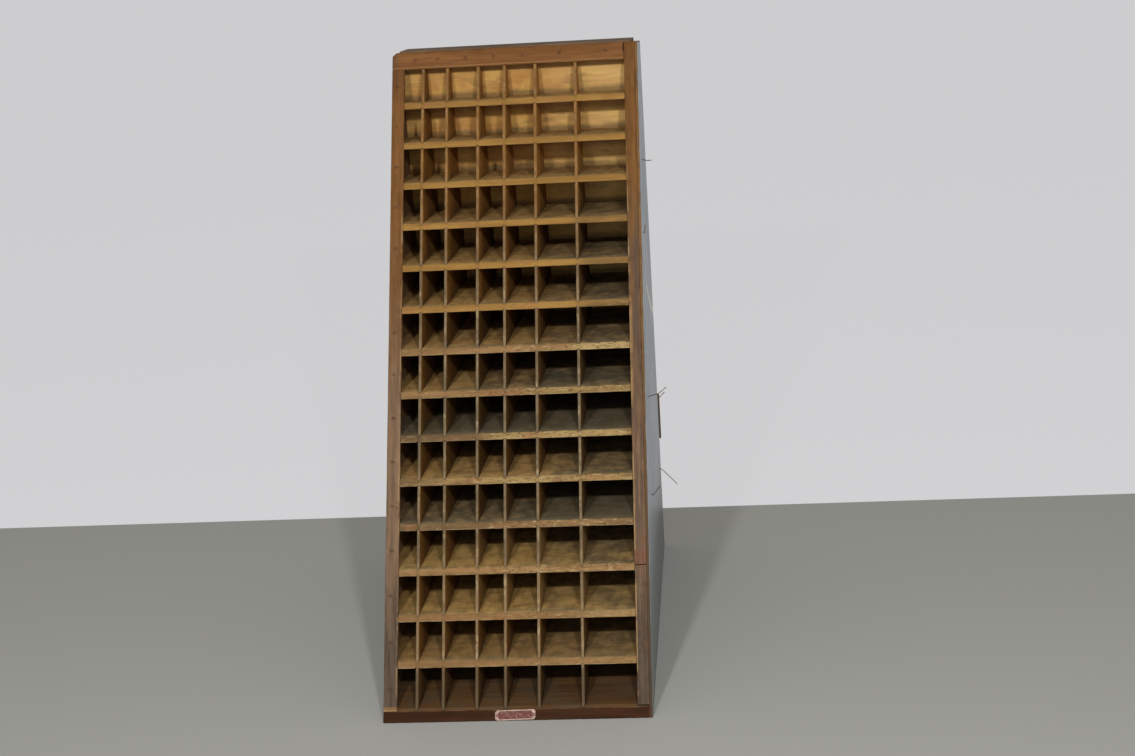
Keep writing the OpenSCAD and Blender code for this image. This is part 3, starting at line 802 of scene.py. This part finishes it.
def notched(notch, inset=0.0, steps=6):
    """Outline of the plate, its corners hollowed by quarter circles, inset all round."""
    w, h = PLATE_W / 2 - inset, PLATE_H / 2 - inset
    r = notch + inset * 0.6
    points = []
    for side, end, start in ((1, 1, 270), (-1, 1, 0), (-1, -1, 90), (1, -1, 180)):
        for i in range(steps + 1):
            a = math.radians(start - 90 * i / steps)
            points.append((side * w + r * math.cos(a), end * h + r * math.sin(a)))
    return points


def solid_from(outline, low, high, place):
    shape = bmesh.new()
    bottom = [shape.verts.new(place @ Vector((x, y, low))) for x, y in outline]
    top = [shape.verts.new(place @ Vector((x, y, high))) for x, y in outline]
    shape.faces.new(list(reversed(bottom)))
    shape.faces.new(top)
    for i in range(len(outline)):
        j = (i + 1) % len(outline)
        shape.faces.new((bottom[i], bottom[j], top[j], top[i]))
    bmesh.ops.recalc_face_normals(shape, faces=shape.faces[:])
    return shape


PLATE = on_face(CASE_W / 2 - PLATE_SHIFT, BOTTOM_RAIL_H / 2, PLATE_TURN)
BORDER_W = 0.0019
FIELD_NOTCH = 0.0040
FIELD_RAISE = 0.00015
FIELD_SUNK = 0.0002
PLATE_GAP = 0.00005
SHORTEST_ARRIS = 0.0001
plate = solid_from(notched(PLATE_NOTCH), PLATE_GAP, PLATE_T, PLATE)
ease(plate, 0.0002, SHORTEST_ARRIS)
finished_piece(plate, "plate_back", FINISHES["plate_border"], ("nameplate",))
field = solid_from(
    notched(FIELD_NOTCH, BORDER_W), PLATE_T - FIELD_SUNK, PLATE_T + FIELD_RAISE, PLATE)
ease(field, 0.0001, SHORTEST_ARRIS)
finished_piece(field, "plate_field", FINISHES["plate_enamel"])


# ---- wires, as smooth bent tubes ----

def smooth_path(points, fine=6):
    """Points on a smooth curve through the given ones, fine of them to a stretch."""
    last = len(points) - 1
    path = []
    for i in range(last):
        p0, p1, p2, p3 = (points[min(max(j, 0), last)] for j in (i - 1, i, i + 1, i + 2))
        for step in range(fine):
            t = step / fine
            bend = (2 * p0 - 5 * p1 + 4 * p2 - p3) * t * t + (3 * p1 - p0 - 3 * p2 + p3) * t ** 3
            path.append(0.5 * (2 * p1 + (p2 - p0) * t + bend))
    return path + [points[last]]


def tube(shape, points, radius, sides=10):
    """A round tube along a smooth curve through the points."""
    path = smooth_path(points)
    rings = []
    side = None
    for i, at in enumerate(path):
        along = (path[min(i + 1, len(path) - 1)] - path[max(i - 1, 0)]).normalized()
        side = along.orthogonal() if side is None else side - along * side.dot(along)
        side.normalize()
        other = along.cross(side)
        angles = [2 * math.pi * k / sides for k in range(sides)]
        rings.append([shape.verts.new(at + (side * math.cos(a) + other * math.sin(a)) * radius)
                      for a in angles])
    for a, b in zip(rings, rings[1:]):
        for k in range(sides):
            j = (k + 1) % sides
            shape.faces.new((a[k], a[j], b[j], b[k]))
    shape.faces.new(list(reversed(rings[0])))
    shape.faces.new(rings[-1])


# each wire's height and distance from the rear in metres, and its bends in millimetres
WIRES = (
    (0.908, 0.176, ((9, 2, -3), (10, -3, 1))),
    (0.780, 0.282, ((2, 1, 1), (2, -4, 15))),
    (0.480, 0.414, ((9, 3, 2), (10, -5, 4), (16, 6, 11))),
    (0.202, 0.059, ((6, 2, -4), (30, -5, -31))),
    (0.297, 0.475, ((3, 0, 0), (13, 2, 17))),
)
WIRE_BURIED = 0.006
WIRE_STRAIGHT = Vector((0.0068, 0, 0))
wires = bmesh.new()
for height, from_rear, bends in WIRES:
    foot = Vector((CASE_W / 2 - WIRE_BURIED, CASE_D / 2 - from_rear, height))
    points = [foot, foot + WIRE_STRAIGHT]
    for bend in bends:
        points.append(points[-1] + Vector(bend) / 1000)
    tube(wires, points, WIRE_R)
finished_piece(wires, "bent_side_wires", FINISHES["wire_iron"], ("side_wires",))

# ---- studio ----

PALE = tone(216, 216, 218)
FLOOR_LINE = 0.655
FLOOR_END = 40


def shown_pale(nodes, shader, kind, output, share):
    """Mixes a plain pale tone into what the camera and mirrors see of a ground or the world."""
    camera_ray, mirrored, through = (
        nodes.node("ShaderNodeLightPath", {}, {}, ray)
        for ray in ("Is Camera Ray", "Is Glossy Ray", "Is Transmission Ray"))
    seen = nodes.most(nodes.most(camera_ray, mirrored), through)
    lit = Wire(nodes, nodes.tree.nodes[shader].outputs[0])
    pale = nodes.node(kind, {}, {"Color": PALE})
    mixed = nodes.node("ShaderNodeMixShader", {}, {0: seen * share, 1: lit, 2: pale})
    nodes.fill(nodes.tree.nodes[output], {"Surface": mixed})


def stage_plane(name, half_width, near, far, colour, pale=0.0):
    """A level ground, shown pale by the given share."""
    corners = ((-half_width, near, 0), (half_width, near, 0), (half_width, far, 0), (-half_width, far, 0))
    mesh = bpy.data.meshes.new(name)
    mesh.from_pydata(corners, [], [range(len(corners))])
    plane = bpy.data.objects.new(name, mesh)
    bpy.context.scene.collection.objects.link(plane)
    material = bpy.data.materials.new(name)
    material.use_nodes = True
    ground = Nodes(material.node_tree)
    ground.fill(ground.tree.nodes["Principled BSDF"], {
        "Base Color": colour, "Roughness": 0.9, "Specular IOR Level": 0.2})
    if pale:
        shown_pale(ground, "Principled BSDF", "ShaderNodeEmission", "Material Output", pale)
    mesh.materials.append(material)


stage_plane("studio_floor", 8, -8, FLOOR_LINE, tone(168, 167, 161))
stage_plane("studio_backdrop", 40, FLOOR_LINE, FLOOR_END, tone(222, 222, 223), 0.8)


def soft_lamp(name, at, aim, size, watts):
    lamp = bpy.data.lights.new(name, "AREA")
    lamp.shape = "SQUARE"
    lamp.size = size
    lamp.energy = watts
    holder = bpy.data.objects.new(name, lamp)
    holder.location = at
    holder.rotation_euler = (Vector(aim) - Vector(at)).to_track_quat("-Z", "Y").to_euler()
    bpy.context.scene.collection.objects.link(holder)


soft_lamp("right_key", (0.96, -3.46, 2.52), (0, 0, 0.5), 0.18, 54)
soft_lamp("left_key", (-0.50, -3.46, 2.52), (0, 0, 0.5), 0.18, 54)
soft_lamp("front_soft", (0.2, -6.0, 1.6), (0, 0, 0.6), 3.0, 50)

# the world lights the case evenly, and shows a pale ground where it is seen or mirrored
world = bpy.data.worlds.new("studio_world")
world.use_nodes = True
sky = Nodes(world.node_tree)
sky.fill(sky.tree.nodes["Background"], {"Color": (1, 1, 1, 1), "Strength": 0.38})
shown_pale(sky, "Background", "ShaderNodeBackground", "World Output", 1.0)
bpy.context.scene.world = world
bpy.context.scene.view_settings.view_transform = "Standard"
